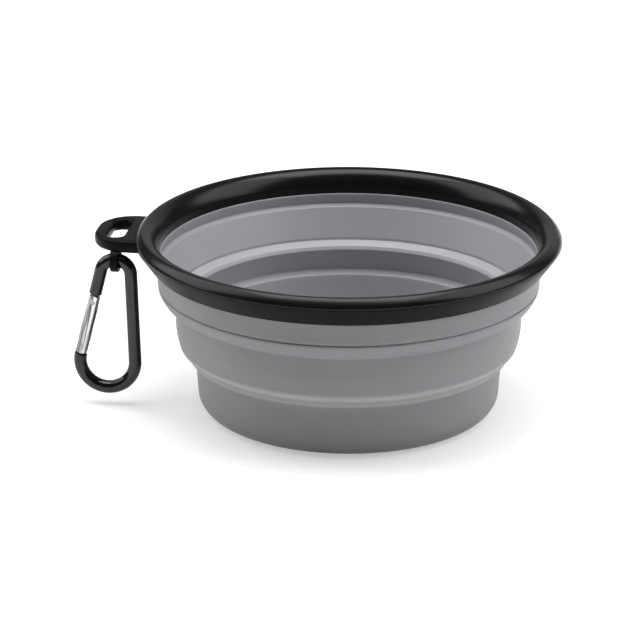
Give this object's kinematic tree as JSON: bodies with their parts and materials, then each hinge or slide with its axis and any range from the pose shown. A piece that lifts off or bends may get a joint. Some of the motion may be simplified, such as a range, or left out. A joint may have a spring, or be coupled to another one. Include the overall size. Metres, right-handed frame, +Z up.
{
  "type": "collapsible water bowl",
  "caption": "Collapsible silicone water bowl with stepped folding sides, a hard clamped rim, a slotted lug and a carabiner with a sprung gate that hangs in an eyelet under the lug.",
  "frame": {"origin": "on the bowl's axis, at the flat underside of the base", "axes": "+Z up along the bowl's axis; the lug and the carabiner stand towards -X; the carabiner's loop lies parallel to XZ"},
  "size_m": [0.1488, 0.13, 0.0571],
  "materials": {
    "silicone": "grey silicone, satin",
    "rim_plastic": "black moulded plastic, satin gloss",
    "carabiner_black": "black anodised rod",
    "gate_bright": "polished",
    "pin_steel": "plain steel"
  },
  "bodies": {
    "rim": {"rim_cap_ring": "rim_plastic", "rim_carrier_ring": "rim_plastic", "bowl_upper_band": "silicone", "bowl_upper_fold": "silicone"},
    "middle_ring": {"bowl_middle_band": "silicone", "bowl_lower_fold": "silicone"},
    "base": {"bowl_base_cup": "silicone"},
    "carabiner": {"carabiner_frame": "carabiner_black"},
    "gate": {"carabiner_gate": "gate_bright", "gate_hinge_pin": "pin_steel", "gate_latch_pin": "pin_steel", "gate_spring": "pin_steel"},
    "plunger": {"gate_plunger": "pin_steel"}
  },
  "joints": [
    {"name": "upper_fold_collapse", "type": "slide", "parent": "rim", "child": "middle_ring", "axis": [0, 0, 1], "range_m": [0, 0.0114], "deforming": ["bowl_upper_fold"]},
    {"name": "lower_fold_collapse", "type": "slide", "parent": "middle_ring", "child": "base", "axis": [0, 0, 1], "range_m": [0, 0.0168], "deforming": ["bowl_lower_fold"]},
    {"name": "carabiner_swing", "type": "hinge", "parent": "rim", "child": "carabiner", "pos_m": [-0.0703, -0.01075, 0.0425], "axis": [0, 1, 0], "range_deg": [-22, 75]},
    {"name": "gate_open", "type": "hinge", "parent": "carabiner", "child": "gate", "pos_m": [-0.07738, -0.01075, 0.03343], "axis": [0, -1, 0], "range_deg": [0, 30], "stiffness_Nm_per_rad": 0.004, "springref_deg": -20.05, "deforming": ["gate_spring"]},
    {"name": "plunger_slide", "type": "slide", "parent": "gate", "child": "plunger", "axis": [-0.2396, 0, -0.9709], "range_m": [0, 0.0005]}
  ],
  "couplings": [
    {"joint": "plunger_slide", "follows": "gate_open", "m_per_rad": 0.00076}
  ]
}
